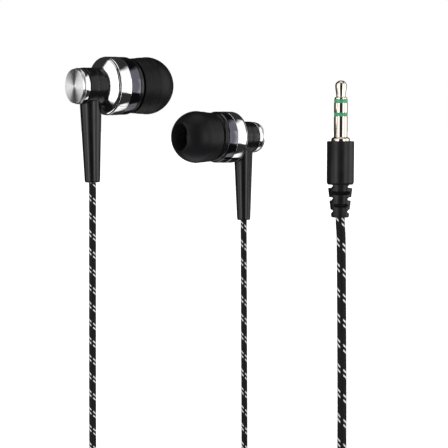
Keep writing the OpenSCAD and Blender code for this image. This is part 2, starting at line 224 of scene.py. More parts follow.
def math_node(tree, operation, *values):
    """The output of a Math node fed with numbers or sockets."""
    node = tree.nodes.new("ShaderNodeMath")
    node.operation = operation
    for i, value in enumerate(values):
        if isinstance(value, bpy.types.NodeSocket):
            tree.links.new(value, node.inputs[i])
        else:
            node.inputs[i].default_value = value
    return node.outputs[0]


def ramp(tree, value, low, high):
    """0 where the value is at `low`, 1 where it is at `high`, with a soft start and end."""
    node = tree.nodes.new("ShaderNodeMapRange")
    node.interpolation_type = "SMOOTHSTEP"
    tree.links.new(value, node.inputs["Value"])
    node.inputs["From Min"].default_value = low
    node.inputs["From Max"].default_value = high
    return node.outputs["Result"]


def noise(tree, scale, detail=2.0):
    """Soft noise fixed to the object. The scale is a number or a socket."""
    where = tree.nodes.new("ShaderNodeTexCoord")
    node = tree.nodes.new("ShaderNodeTexNoise")
    node.inputs["Detail"].default_value = detail
    tree.links.new(where.outputs["Object"], node.inputs["Vector"])
    if isinstance(scale, bpy.types.NodeSocket):
        tree.links.new(scale, node.inputs["Scale"])
    else:
        node.inputs["Scale"].default_value = scale
    return node.outputs["Fac"]


print("node helpers ready")

# %% Fine grain, handling and turning marks
grain, given, result = new_group("fine grain", {"Scale": 4000.0}, ["Height"])
grain.links.new(noise(grain, given.outputs["Scale"], 3), result.inputs["Height"])

handling, given, result = new_group("handling", {"Clean": 0.3, "Touched": 0.4, "Scale": 160.0}, ["Roughness"])
cloud = ramp(handling, noise(handling, given.outputs["Scale"], 4), 0.35, 0.7)
spread = math_node(handling, "SUBTRACT", given.outputs["Touched"], given.outputs["Clean"])
blend = math_node(handling, "MULTIPLY_ADD", spread, cloud, given.outputs["Clean"])
handling.links.new(blend, result.inputs["Roughness"])

turning, given, result = new_group("turning marks", {"Lines per mm": 14.0}, ["Height"])
outline_uv = turning.nodes.new("ShaderNodeUVMap")
outline_uv.uv_map = "turned"
parts = turning.nodes.new("ShaderNodeSeparateXYZ")
turning.links.new(outline_uv.outputs["UV"], parts.inputs[0])
pitch = math_node(turning, "MULTIPLY", parts.outputs["Y"], given.outputs["Lines per mm"])
lines = turning.nodes.new("ShaderNodeTexNoise")
lines.noise_dimensions = "1D"
lines.inputs["Detail"].default_value = 3
turning.links.new(pitch, lines.inputs["W"])
turning.links.new(lines.outputs["Fac"], result.inputs["Height"])
print("groups:", [g.name for g in bpy.data.node_groups])

# %% [markdown]
# ## The braid
# The cords wear a tubular braid: strands run both ways round the core and cross over and under each
# other. Two white tracer strands lie side by side among the black ones. They dive under four times in
# each turn, so they appear as short slanted dashes that climb round the cord. Modelling each yarn would
# take millions of faces, so the weave is worked out from the cord's own UV map instead: the turn round
# the cord, and the number of lays along it. A lay is the length in which a strand goes once round.

# %% Braid group
TRACER_WIDTH = 0.05  # of a lay, on each side of a tracer's middle
STRAND_WIDTH = 0.45
DIVES = 4.0
braid, given, result = new_group(
    "braid", {"Apart": 0.23, "Strands": 8.0, "Shown": 0.38}, ["Tracer", "Height", "Strand"])
cord_uv = braid.nodes.new("ShaderNodeUVMap")
cord_uv.uv_map = "cord"
parts = braid.nodes.new("ShaderNodeSeparateXYZ")
braid.links.new(cord_uv.outputs["UV"], parts.inputs[0])
one_way = math_node(braid, "ADD", parts.outputs["Y"], parts.outputs["X"])
other_way = math_node(braid, "SUBTRACT", parts.outputs["Y"], parts.outputs["X"])


def off_middle(value, count):
    """How far a repeating value is from the middle of its band: 0 to 0.5."""
    phase = math_node(braid, "FRACT", math_node(braid, "MULTIPLY", value, count))
    return math_node(braid, "ABSOLUTE", math_node(braid, "SUBTRACT", phase, 0.5))


def ridge(value, count, width):
    """1 along the middle of each of `count` bands of a repeating value, 0 beyond `width` of it."""
    return ramp(braid, off_middle(value, count), width, width * 0.55)


first = ridge(one_way, 1.0, TRACER_WIDTH)
second = ridge(math_node(braid, "ADD", one_way, given.outputs["Apart"]), 1.0, TRACER_WIDTH)
hidden = math_node(braid, "SUBTRACT", off_middle(parts.outputs["X"], DIVES), given.outputs["Shown"])
over = ramp(braid, hidden, 0.0, -0.12)
tracer = math_node(braid, "MULTIPLY", math_node(braid, "MAXIMUM", first, second), over)
right_strands = ridge(one_way, given.outputs["Strands"], STRAND_WIDTH)
left_strands = ridge(other_way, given.outputs["Strands"], STRAND_WIDTH)
checks = math_node(braid, "MULTIPLY", other_way, given.outputs["Strands"])
turn_about = ramp(braid, math_node(braid, "SINE", math_node(braid, "MULTIPLY", checks, pi)), -0.3, 0.3)
swap = math_node(braid, "SUBTRACT", right_strands, left_strands)
strand = math_node(braid, "MULTIPLY_ADD", swap, turn_about, left_strands)
raised = math_node(braid, "MULTIPLY_ADD", tracer, 0.6, strand)
braid.links.new(tracer, result.inputs["Tracer"])
# Strand is 1 on top of a strand and 0 between strands: it shapes the bump, and the finish also uses it for
# painted highlight and painted shade on the black.
braid.links.new(strand, result.inputs["Strand"])
braid.links.new(raised, result.inputs["Height"])
print("braid nodes:", len(braid.nodes))

# %% [markdown]
# ## Finishes
# One function makes the plain ones: a Principled shader whose roughness comes from *handling*, whose
# bump comes from *fine grain*, and whose colour shifts a little in slow clouds. Chrome is a nearly
# smooth metal, dark chrome the same with a dark tint, and the blacks differ by their gloss: satin
# plastic on the buds, matt silicone on the tips, softer vinyl on the plug.

# %% Finish helper
finishes = {}


def use(tree, group, **values):
    """A node group placed in a material's tree, with its own values."""
    node = tree.nodes.new("ShaderNodeGroup")
    node.node_tree = group
    for socket, value in values.items():
        node.inputs[socket.replace("_", " ")].default_value = value
    return node


def bump(tree, height, shader, strength, distance):
    """Joins a height to the shader's normal."""
    node = tree.nodes.new("ShaderNodeBump")
    node.inputs["Strength"].default_value = strength
    node.inputs["Distance"].default_value = distance
    tree.links.new(height, node.inputs["Height"])
    tree.links.new(node.outputs["Normal"], shader.inputs["Normal"])


def blank_finish(name):
    """A new material in the list of finishes, with its tree and its shader."""
    material = bpy.data.materials.new(name)
    material.use_nodes = True
    finishes[name] = material
    return material, material.node_tree, material.node_tree.nodes["Principled BSDF"]


def finish(name, dark, light, metallic, clean, touched, grain_scale=4000.0, depth=0.01, **sockets):
    """A finish between two colours, with the roughness of clean and touched skin."""
    material, tree, shader = blank_finish(name)
    shader.inputs["Metallic"].default_value = metallic
    for socket, value in sockets.items():
        shader.inputs[socket.replace("_", " ")].default_value = value
    shade = tree.nodes.new("ShaderNodeMix")
    shade.data_type = "RGBA"
    shade.inputs["A"].default_value = (*dark, 1)
    shade.inputs["B"].default_value = (*light, 1)
    tree.links.new(ramp(tree, noise(tree, 240.0), 0.3, 0.7), shade.inputs["Factor"])
    tree.links.new(shade.outputs["Result"], shader.inputs["Base Color"])
    hands = use(tree, handling, Clean=clean, Touched=touched)
    tree.links.new(hands.outputs["Roughness"], shader.inputs["Roughness"])
    bump(tree, use(tree, grain, Scale=grain_scale).outputs["Height"], shader, 1, depth * MM)
    material.diffuse_color = (*[(a + b) / 2 for a, b in zip(dark, light)], 1)
    return tree, shader


def grey(value, cool=0.0):
    return (value, value, value + cool)


finish("chrome_trim", grey(0.86), grey(0.90, cool=0.01), 1, 0.03, 0.05, 900, 0.0004)
finish("black_chrome", (0.105, 0.1, 0.12), (0.12, 0.115, 0.135), 1, 0.05, 0.09, 900, 0.0006)
finish("satin_black_plastic", grey(0.004, cool=0.0008), grey(0.006, cool=0.001), 0, 0.2, 0.26, 5200, 0.002,
       Specular_IOR_Level=0.31)
finish("black_silicone", grey(0.006, cool=0.0008), grey(0.008, cool=0.0012), 0, 0.38, 0.45, 6500, 0.004,
       Specular_IOR_Level=0.14)
finish("black_gasket", grey(0.008), grey(0.012), 0, 0.6, 0.7)
finish("moulded_pvc", grey(0.006, cool=0.001), grey(0.009, cool=0.0014), 0, 0.3, 0.38, 3600, 0.005,
       Specular_IOR_Level=0.23)
finish("steel_mesh", grey(0.42), grey(0.55), 1, 0.3, 0.4)
finish("damping_foam", grey(0.015), grey(0.03), 0, 0.9, 1.0, 2600, 0.08)
finish("driver_steel", grey(0.5), grey(0.6), 1, 0.25, 0.35)
finish("driver_frame_plastic", (0.55, 0.5, 0.36), (0.62, 0.57, 0.42), 0, 0.35, 0.45)
finish("clear_film", grey(0.6), grey(0.68), 0, 0.2, 0.3, Alpha=0.6)
finish("copper_wire", (0.6, 0.24, 0.09), (0.68, 0.3, 0.12), 1, 0.25, 0.35)
finish("magnet_alloy", grey(0.45), grey(0.52, cool=0.01), 1, 0.2, 0.3)
finish("circuit_board", (0.015, 0.11, 0.04), (0.02, 0.15, 0.055), 0, 0.3, 0.4)
finish("nickel_contact", (0.72, 0.65, 0.55), (0.78, 0.71, 0.61), 1, 0.06, 0.1, 900, 0.0006)
finish("green_insulator", (0.03, 0.26, 0.11), (0.04, 0.31, 0.14), 0, 0.3, 0.4)
finish("black_wire_tie", grey(0.008), grey(0.011), 0, 0.3, 0.4)
print("finishes:", len(finishes))

# %% [markdown]
# The end cap is spun aluminium. A lathe leaves fine rings on its face, so light spreads across them
# and not along them, and the face shows two bright and two dark wedges. An anisotropic shader does
# that, with its tangent taken round the axis from the UV map.

# %% Spun aluminium
tree, shader = finish("spun_aluminium", grey(0.86), grey(0.92), 1, 0.36, 0.42, Anisotropic=0.92,
                      Anisotropic_Rotation=0.25)
round_axis = tree.nodes.new("ShaderNodeTangent")
round_axis.direction_type = "UV_MAP"
round_axis.uv_map = "turned"
tree.links.new(round_axis.outputs["Tangent"], shader.inputs["Tangent"])
marks = use(tree, turning, Lines_per_mm=12.0)
bump(tree, marks.outputs["Height"], shader, 0.6, 0.004 * MM)
print("spun aluminium nodes:", len(tree.nodes))

# %% [markdown]
# The braid finish mixes black polyester with the white tracers. The black is painted a little lighter on top
# of each strand and darker between strands: a painted highlight and painted shade of the weave. The main cord
# is thicker, so it has more strands, and its dashes are a little shorter.

# %% Braided cord


def braid_finish(name, apart, strands, shown):
    tree, shader = blank_finish(name)[1:]
    weave = use(tree, braid, Apart=apart, Strands=strands, Shown=shown)
    # painted highlight and shade: the black is lighter (B) on top of each strand and darker (A) between
    # strands
    black = tree.nodes.new("ShaderNodeMix")
    black.data_type = "RGBA"
    black.inputs["A"].default_value = (0.003, 0.003, 0.003, 1)
    black.inputs["B"].default_value = (0.010, 0.010, 0.0112, 1)
    tree.links.new(weave.outputs["Strand"], black.inputs["Factor"])
    colour = tree.nodes.new("ShaderNodeMix")
    colour.data_type = "RGBA"
    colour.inputs["B"].default_value = (0.78, 0.78, 0.78, 1)
    tree.links.new(weave.outputs["Tracer"], colour.inputs["Factor"])
    tree.links.new(black.outputs["Result"], colour.inputs["A"])
    tree.links.new(colour.outputs["Result"], shader.inputs["Base Color"])
    shader.inputs["Roughness"].default_value = 0.6
    shader.inputs["Specular IOR Level"].default_value = 0.14
    bump(tree, weave.outputs["Height"], shader, 0.9, 0.06 * MM)


BRANCH_STRANDS = 8
MAIN_STRANDS = 10
braid_finish("braided_cord", 0.23, BRANCH_STRANDS, 0.38)
braid_finish("braided_main_cord", 0.21, MAIN_STRANDS, 0.33)
print("cord finishes:", [n for n in finishes if n.startswith("braid")])

# %% [markdown]
# ## The cords
# Each cord is one flexible length. Where it hangs, its route is a given list of points, the same as in the
# CAD. Where it is put away, a loop works out the turns. The two earbud cords lie side by side in one wide
# turn and end in the splitter. The main cord leaves the splitter, is wound inwards and outwards in four
# layers, and then rises to the plug. A physics run could lay the cords as well, but a list of points gives
# the same route in the CAD and here.

# %% Cord sizes and routes
BRANCH_D = 1.6
MAIN_D = 2.4
GROUND = -101
COIL_AT = (25, -15)
COIL_LIFT = 0.5
LAYER = 2.45
COIL_OUT = 14.8
COIL_IN = 9
LEAD_OUT = 26.6
LEAD_IN = 3.7  # how far the earbud cords wind inwards in one turn
LEAD_STEP = 20
INLET_OUT = 20.8


def round_coil(r, degrees, z):
    """A point round the coil's middle, at a height above the ground."""
    a = radians(degrees)
    return (COIL_AT[0] + r * cos(a), COIL_AT[1] + r * sin(a), GROUND + z)


def lead(gap, degrees):
    """A point on an earbud cord's wide turn, `gap` inside the outer cord."""
    return round_coil(LEAD_OUT - gap - LEAD_IN * (degrees - 245) / 360, degrees, BRANCH_D / 2)


left_drop = [(-17.33, -22.92, -1.82), (-17.17, -22.79, -15.15), (-17.18, -22.75, -19), (-17.37, -22.9, -41),
             (-17.6, -23, -72), (-17.6, -23, -86), (-17.3, -23.1, -93), (-16.3, -23.5, -97.5),
             (-13.5, -24.8, -99.6), (-9, -27, -100.2), (3, -32.8, -100.2)]
left_end = [(28.1, -37.2, -100.1), (32.8, -35, -99.3), (36.32, -32.24, -98.8), (38.72, -29.04, -98.8)]
right_drop = [(17.04, 22.71, -14.02), (17.12, 22.27, -27.34), (17.13, 22.15, -31), (17.25, 22.3, -55),
              (17.4, 22.6, -88), (17.2, 22.2, -95), (16.2, 20.8, -98.8), (14, 17, -100.1), (10.5, 11, -100.2),
              (3.4, 0.2, -100.2)]
right_end = [(27.7, -35.5, -100.1), (31.8, -33.6, -99.3), (34.88, -31.16, -98.8), (37.28, -27.96, -98.8)]
left_route = left_drop + [lead(0, a) for a in range(245, 626, LEAD_STEP)] + left_end
right_route = right_drop + [lead(1.75, a) for a in range(165, 626, LEAD_STEP)] + right_end

main_start = [(41, -24.5, -98.8), (44, -20.5, -98.8), (45.5, -17.6, -99), (46, -14.5, -99.3)]
main_inlet = [round_coil(INLET_OUT + (COIL_OUT - INLET_OUT) * s / 8, 11 + 15 * s, COIL_LIFT + LAYER / 2)
              for s in range(8)]
main_drop = [(39.8, -16, -91.92), (40.3, -10, -92.5), (40.9, -3, -94.1), (41.4, 4, -95.9), (41.9, 11, -96.2),
             (42.4, 17, -93.8), (42.8, 21, -89.2), (42.9, 22.7, -83), (42.9, 23, -76), (42.6, 23, -50),
             (42.35, 23, -33), (42.05, 23, -26.7), (42, 23, -12.8)]
print("routes:", len(left_route), len(right_route), "points")

# %% [markdown]
# The coil has four layers of about two and a half turns. Layers wind in, out, in and out again, and
# the cord climbs to the next layer over the last part of each one.

# %% Coil turns
LAYERS = 4
SWEEP = 866.25  # degrees in each layer, so that the last one ends where the cord leaves
COIL_START = 131
CLIMB_AT = 0.92  # of a layer, where the cord starts to climb to the next


def coil_point(progress):
    """A point on the coil. The progress runs from 0 to the number of layers."""
    layer = min(int(progress), LAYERS - 1)
    part = progress - layer
    inwards = layer % 2 == 0
    r = COIL_OUT + (COIL_IN - COIL_OUT) * (part if inwards else 1 - part)
    climb = max(0, (part - CLIMB_AT) / (1 - CLIMB_AT)) if layer < LAYERS - 1 else 0
    climb = climb * climb * (3 - 2 * climb)
    return round_coil(r, COIL_START + SWEEP * progress, COIL_LIFT + LAYER * (layer + 0.5 + climb))


coil_steps = LAYERS * 72
coil_turns = [coil_point(LAYERS * i / coil_steps) for i in range(coil_steps)]
main_route = main_start + main_inlet + coil_turns + main_drop
print("main route:", len(main_route), "points")

# %% [markdown]
# A cord becomes a mesh tube that follows a smooth curve through its route. A curve object with a round
# bevel would be simpler, but it can't carry ridges: low bumps where strands cross break up the outline
# as a real braid does. The tube's frame is carried along without twist, so the tracers climb evenly.

# %% Smooth route and braided tube
MEAN_R = 0.985  # of the cord's radius
RIDGE = 0.02


def smooth(route, spacing):
    """Points at an even spacing on a Catmull-Rom curve through the route, in metres."""
    p = np.array([route[0], *route, route[-1]], float) * MM
    fine = []
    for a, b, c, d in zip(p, p[1:], p[2:], p[3:]):
        for t in np.linspace(0, 1, 16, endpoint=False):
            fine.append(0.5 * (2 * b + (c - a) * t + (2 * a - 5 * b + 4 * c - d) * t**2
                               + (3 * b - a - 3 * c + d) * t**3))
    fine = np.array([*fine, p[-1]])
    run = np.concatenate([[0], np.cumsum(np.linalg.norm(np.diff(fine, axis=0), axis=1))])
    even = np.linspace(0, run[-1], int(run[-1] / spacing) + 1)
    return np.stack([np.interp(even, run, fine[:, i]) for i in range(3)], 1), run[-1]


def frames_along(line):
    """Two directions square to the line at each of its points, carried along it without twist."""
    ahead = np.gradient(line, axis=0)
    ahead /= np.linalg.norm(ahead, axis=1)[:, None]
    across = np.zeros_like(line)
    last = np.array([0.0, 1.0, 0.0])
    for i, d in enumerate(ahead):
        last = last - d * last.dot(d)
        last /= np.linalg.norm(last)
        across[i] = last
    return across, np.cross(ahead, across)


def braided_tube(name, route, diameter, strands, lay, spacing, turned, start):
    """A cord's mesh, path and length. Its UV map begins `turned` degrees round and at `start` lays."""
    line, length = smooth(route, spacing * MM)
    across, up = frames_along(line)
    sides = strands * 3
    turn = np.arange(sides) / sides
    angle = 2 * pi * turn + radians(turned)
    along = np.linspace(0, length / MM, len(line)) / lay + start
    wave_a = np.cos(2 * pi * strands * (turn[None, :] + along[:, None]))
    wave_b = np.cos(2 * pi * strands * (turn[None, :] - along[:, None]))
    r = diameter * MM / 2 * (MEAN_R + RIDGE * wave_a * wave_b)
    ring = np.cos(angle)[None, :, None] * across[:, None] + np.sin(angle)[None, :, None] * up[:, None]
    points = (line[:, None] + r[:, :, None] * ring).reshape(-1, 3)
    rows = len(line)
    faces, uvs = [], []
    for i in range(rows - 1):
        for k in range(sides):
            n = (k + 1) % sides
            faces.append((i * sides + k, i * sides + n, (i + 1) * sides + n, (i + 1) * sides + k))
            uvs += [(k / sides, along[i]), ((k + 1) / sides, along[i]),
                    ((k + 1) / sides, along[i + 1]), (k / sides, along[i + 1])]
    faces.append(tuple(range(sides - 1, -1, -1)))
    faces.append(tuple((rows - 1) * sides + k for k in range(sides)))
    uvs += [(0, 0)] * (2 * sides)
    mesh = bpy.data.meshes.new(name)
    mesh.from_pydata(points.tolist(), [], faces)
    layer = mesh.uv_layers.new(name="cord")
    layer.data.foreach_set("uv", np.array(uvs).ravel())
    mesh.shade_smooth()
    mesh.set_sharp_from_angle(angle=radians(50))
    return mesh, line[::4].tolist() + [line[-1].tolist()], length


print("tube helper ready")

# %% [markdown]
# The three tubes differ in thickness, in the lay of their strands and in where the tracers begin. The
# main cord's tube also stands for the plain ring that the CAD has in place of the coil.

# %% Make the three cords
cords = {}
for side, route, lay, start in (("left", left_route, 4.0, 0.6), ("right", right_route, 4.83, 0.77)):
    mesh, path, length = braided_tube(side + "_braid", route, BRANCH_D, BRANCH_STRANDS, lay, 0.25, 0, start)
    tube = piece(side + "_braided_cord", mesh, Matrix(), "earphones", "braided_cord", side + "_cord")
    cords[side] = (tube, path, length)
    print(side, "cord", round(length, 3), "m")

mesh, path, length = braided_tube("main_braid", main_route, MAIN_D, MAIN_STRANDS, 6.6, 0.45, 52, 0.39)
tube = piece("main_braided_cord", mesh, Matrix(), "earphones", "braided_cord", "main_cord", "main_coil",
             finish_name="braided_main_cord")
cords["main"] = (tube, path, length)
print("main cord", round(length, 3), "m")

# %% [markdown]
# ## End cap, collar and stem
# The cap is a thin spun disc set in a chrome ring. Both are turned parts, so an outline spun about the
# axis gives their true shape. The disc's small cone in the middle is where the lathe's tool ends.

# %% Cap disc and chrome ring
CAP_R = 3.95
DISC_R = CAP_R - 0.2
CAP_LEN = 2
NECK_R = 3.02
cap_disc = [(0, 0, 0), (0.2, -0.02, 0.05), (0.4, 0, 0.05), (DISC_R, 0, 0.07), (DISC_R, 0.32, 0.06),
            (DISC_R - 0.3, 0.34, 0), (DISC_R - 0.3, 0.71, 0), (0, 0.71, 0)]
cap_ring = [(0, 0.72, 0), (CAP_R, 0.72, 0.12), (CAP_R, CAP_LEN - 0.26, 0.08),
            (NECK_R + 0.4, CAP_LEN - 0.22, 0.05), (NECK_R + 0.4, CAP_LEN - 0.02, 0),
            (NECK_R, CAP_LEN - 0.02, 0), (NECK_R, 1, 0), (0, 1, 0)]
for side in SIDES:
    piece(side + "_spun_cap", spin("cap", cap_disc), held(side), "earphones", "spun_aluminium",
          side + "_cap_disc")
    piece(side + "_cap_trim", spin("trim", cap_ring), held(side), "earphones", "chrome_trim",
          side + "_cap_ring")
print("caps made")

# %% [markdown]
# The black collar is moulded in two halves, whose seam runs round its middle. The seam is a shallow
# groove in the outline, because a line drawn in the finish would not catch the light.

# %% Collar
COLLAR_R = 4.05
CONE_X = 6.5
SEAM = 0.06
SEAM_AT = (CAP_LEN + CONE_X) / 2
collar = [(NECK_R, CAP_LEN, 0), (COLLAR_R, CAP_LEN, 0.16), (COLLAR_R, SEAM_AT - SEAM, 0.03),
          (COLLAR_R - 0.07, SEAM_AT, 0.02), (COLLAR_R, SEAM_AT + SEAM, 0.03), (COLLAR_R, CONE_X, 0.16),
          (NECK_R, CONE_X, 0)]
for side in SIDES:
    piece(side + "_seamed_collar", spin("collar", collar), held(side), "earphones", "satin_black_plastic",
          side + "_collar")
print("collars made")

# %% [markdown]
# The stem is a long cone that grows out of the collar. Its top is scooped to sit on the round collar,
# by cutting a spun cone with the collar's own cylinder, and its foot is rounded over round the cord.

# %% Stem
STEM_TOP_R = 2.45
STEM_END_R = 1.7
STEM_TOP = 2.6  # below the axis, inside the collar
CORD_HOLE_R = 0.9
stem = [(CORD_HOLE_R, STEM_TOP, 0), (STEM_TOP_R, STEM_TOP, 0), (STEM_END_R + 0.02, STEM_DROP - 0.55, 0.5),
        (STEM_END_R - 0.05, STEM_DROP, 0.3), (CORD_HOLE_R, STEM_DROP, 0.12)]
stem_down = Matrix.Translation((STEM_X * MM, 0, 0)) @ Matrix.Rotation(pi / 2, 4, "Y")
seat = [(0, -9, 0), (COLLAR_R - 0.02, -9, 0), (COLLAR_R - 0.02, 9, 0), (0, 9, 0)]
for side in SIDES:
    cone = spin("stem", stem, 96)
    cone.transform(stem_down)
    scooped = cut(cone, spin("seat", seat, 96))
    piece(side + "_tapered_stem", scooped, held(side), "earphones", "satin_black_plastic", side + "_stem")
print("stems made")

# %% [markdown]
# ## Metal housing
# The rear shell flares from the collar to the full width. A dark seam separates it from the bright
# chrome band, and the ring in front of that is plated nearly black. Both rings sit on the black front
# shell, whose nozzle ends in a barb that the tip grips. Each is its own spun piece, with a real gap to
# its neighbour, so the joints between them show as fine dark lines.

# %% Housing pieces
HOUSING_R = 6.5
SPIGOT_R = 5.85  # the front shell's sleeve, which carries the rings
RING_IN = SPIGOT_R + 0.02
SEAM_X = 7.85
BAND_X = 8.2
FRONT_X = 10.9
RIM_X = 13.5
FACE_X = 14.65
NOZZLE_X = FACE_X + 6
rear_shell = [(2.5, 1.02, 0), (3, 1.02, 0.1), (3, CONE_X + 0.02, 0), (COLLAR_R + 0.1, CONE_X + 0.02, 0.05),
              (COLLAR_R + 0.4, CONE_X + 0.1, 0.15), (HOUSING_R - 0.28, SEAM_X - 0.32, 0.35),
              (HOUSING_R - 0.1, SEAM_X, 0.08), (SPIGOT_R, SEAM_X, 0), (SPIGOT_R, BAND_X + 1.2, 0),
              (5.35, BAND_X + 1.2, 0), (5.35, SEAM_X + 0.1, 0.1), (3.4, CONE_X + 0.6, 0.1),
              (2.5, CONE_X, 0.1)]
seam_ring = [(RING_IN, SEAM_X + 0.01, 0), (HOUSING_R - 0.4, SEAM_X + 0.01, 0),
             (HOUSING_R - 0.4, BAND_X - 0.01, 0), (RING_IN, BAND_X - 0.01, 0)]
chrome_band = [(RING_IN, BAND_X, 0), (HOUSING_R, BAND_X, 0.14), (HOUSING_R, FRONT_X - 0.02, 0.06),
               (RING_IN, FRONT_X - 0.02, 0)]
front_band = [(RING_IN, FRONT_X, 0), (HOUSING_R - 0.03, FRONT_X, 0.08),
              (HOUSING_R - 0.05, RIM_X - 0.22, 0.12), (HOUSING_R - 0.22, RIM_X - 0.02, 0.05),
              (RING_IN, RIM_X - 0.02, 0)]
front_shell = [(5.05, FRONT_X - 1.3, 0), (SPIGOT_R, FRONT_X - 1.3, 0), (SPIGOT_R, RIM_X, 0),
               (HOUSING_R - 0.27, RIM_X, 0.05), (HOUSING_R - 0.32, FACE_X - 0.3, 0.2),
               (HOUSING_R - 0.6, FACE_X, 0.15), (2.55, FACE_X, 0.15), (2.55, NOZZLE_X - 1.1, 0.15),
               (2.72, NOZZLE_X - 0.8, 0.06), (2.72, NOZZLE_X - 0.5, 0.1), (2.45, NOZZLE_X, 0.12),
               (2.1, NOZZLE_X, 0.05), (2.1, NOZZLE_X - 0.3, 0), (1.9, NOZZLE_X - 0.3, 0),
               (1.9, FACE_X - 1.1, 0), (5.05, FACE_X - 1.1, 0)]
shells = {"rear_shell": (rear_shell, "chrome_trim"), "seam_ring": (seam_ring, "black_gasket"),
          "chrome_band": (chrome_band, "chrome_trim"), "front_band": (front_band, "black_chrome"),
          "front_shell": (front_shell, "satin_black_plastic")}
for side in SIDES:
    for node, (outline, slot) in shells.items():
        piece(f"{side}_turned_{node}", spin(node, outline), held(side), "earphones", slot, f"{side}_{node}")
print("shells:", len(shells), "a side")

# %% [markdown]
# ## Ear tip
# A soft silicone mushroom: a thin skirt that folds back over a core tube. It is the only soft part of
# an earbud, and it pulls off the nozzle, so it rides on its own body. The mouth is rounded over into the
# sound bore, and two faint steps on the skirt are left by the mould. The dome is an elliptic arc.

# %% Ear tip
TIP_X = FACE_X + 0.3
TIP_LEN = 9.5
TIP_R = 6.5
SKIRT = 0.5
CORE_IN = 2.77
CORE_WALL = 0.9
MOUTH_R = 3.5
front = TIP_X + TIP_LEN
dome_x = front - 5.4


def dome(radius, length, start, end, steps):
    """Corners along an elliptic arc from one angle to another."""
    angles = [radians(start + (end - start) * i / steps) for i in range(steps + 1)]
    return [(radius * cos(a), dome_x + length * sin(a), 0) for a in angles]


ear_tip = [(TIP_R - 0.75, TIP_X, 0.12), (TIP_R - 0.36, TIP_X + 0.02, 0.15),
           (TIP_R - 0.22, TIP_X + 1.95, 0.2), (TIP_R - 0.16, TIP_X + 2.06, 0.1),
           (TIP_R - 0.09, TIP_X + 3.75, 0.2), (TIP_R - 0.03, TIP_X + 3.85, 0.1)]
ear_tip += dome(TIP_R, 6.35, 4, 56, 16)
ear_tip += [(MOUTH_R, front - 0.1, 0.35), (CORE_IN + 0.25, front - 1.6, 0.9), (CORE_IN, front - 3, 0.6),
            (CORE_IN, TIP_X + 0.5, 0.1), (CORE_IN + CORE_WALL, TIP_X + 0.5, 0.1),
            (CORE_IN + CORE_WALL, dome_x + 3.2, 0.6)]
ear_tip += dome(TIP_R - SKIRT, 5.2, 44, 0, 10)
ear_tip += [(TIP_R - SKIRT - 0.3, TIP_X + 1.2, 0.3)]
for side in SIDES:
    piece(side + "_silicone_tip", spin("tip", ear_tip), held(side), side + "_tip", "black_silicone",
          side + "_ear_tip")
print("ear tips made")

# %% [markdown]
# ## Plug
# The stereo pin has three nickel contacts with green rings between them. On the real pin the contacts
# are tubes, one inside another, and so they are here: each is spun with its own bore, and the green
# insulators fill the gaps and show as rings.

# %% Pin contacts and rings
PIN_R = 1.75
PIN_LEN = 14.45
GREEN_R = PIN_R - 0.02
GRIP_TOP = 15.5
tip_contact = [(0, 0, 0), (0.5, 0.0, 0.25), (1.2, 0.45, 0.4), (1.5, 1.05, 0.4), (1.48, 1.8, 0.4),
               (1.2, 3.7, 0.5), (1.2, 4.15, 0.1), (1.62, 4.35, 0.1), (1.62, 4.75, 0.04), (0.5, 4.75, 0),
               (0.5, 18.5, 0), (0, 18.5, 0)]
ring_contact = [(0.7, 5.75, 0), (PIN_R, 5.75, 0.05), (PIN_R, 8.2, 0.05), (0.98, 8.2, 0), (0.98, 17.5, 0),
                (0.7, 17.5, 0)]
sleeve_contact = [(1.22, 9.15, 0), (PIN_R, 9.15, 0.05), (PIN_R, PIN_LEN, 0.1), (2.1, PIN_LEN + 0.1, 0.15),
                  (2.42, PIN_LEN + 0.45, 0.2), (2.42, GRIP_TOP, 0.08), (2, GRIP_TOP, 0),
                  (2, GRIP_TOP + 2.5, 0),
                  (1.22, GRIP_TOP + 2.5, 0)]
insulators = [[(0.52, 4.76, 0), (GREEN_R, 4.76, 0.04), (GREEN_R, 5.74, 0.04), (0.68, 5.74, 0),
               (0.68, 18, 0), (0.52, 18, 0)],
              [(1, 8.21, 0), (GREEN_R, 8.21, 0.04), (GREEN_R, 9.14, 0.04), (1.2, 9.14, 0),
               (1.2, 17.2, 0), (1, 17.2, 0)]]
for name, outline in (("tip", tip_contact), ("ring", ring_contact), ("sleeve", sleeve_contact)):
    piece(f"plug_{name}_plated", spin(name, outline), plug_place, "earphones",
                             "nickel_contact", f"plug_{name}_contact")
for i, outline in enumerate(insulators):
    replaced = ["plug_insulators"] if i == 0 else []
    piece(f"plug_green_ring_{i + 1}", spin("insulator", outline), plug_place, "earphones",
                             "green_insulator", *replaced)

# %% [markdown]
# The grip is moulded over the pin. Its tail is slotted from alternate sides, so that it bends with the
# cord and doesn't crease it. The slots are cut with rounded blocks, as the mould's cores would be.

# %% Moulded grip and strain relief
GRIP_R = 3.5
RELIEF_TOP = 26.5
RELIEF_TOP_R = 3.25
RELIEF_END_R = 2.25
PLUG_LEN = 35.1
PLUG_BORE_R = 2.03
TAIL_BORE_R = 1.3
BORE_END = RELIEF_TOP - 2.6
CORE_R = 1.72
SLOT = 1.0
SLOT_STEP = 1.62
grip = [(PLUG_BORE_R, GRIP_TOP, 0), (GRIP_R, GRIP_TOP, 0.22), (GRIP_R, RELIEF_TOP - 0.3, 0.5),
        (RELIEF_TOP_R, RELIEF_TOP + 0.05, 0.1), (RELIEF_END_R, PLUG_LEN, 0.2), (TAIL_BORE_R, PLUG_LEN, 0.05),
        (TAIL_BORE_R, BORE_END, 0), (PLUG_BORE_R, BORE_END, 0)]


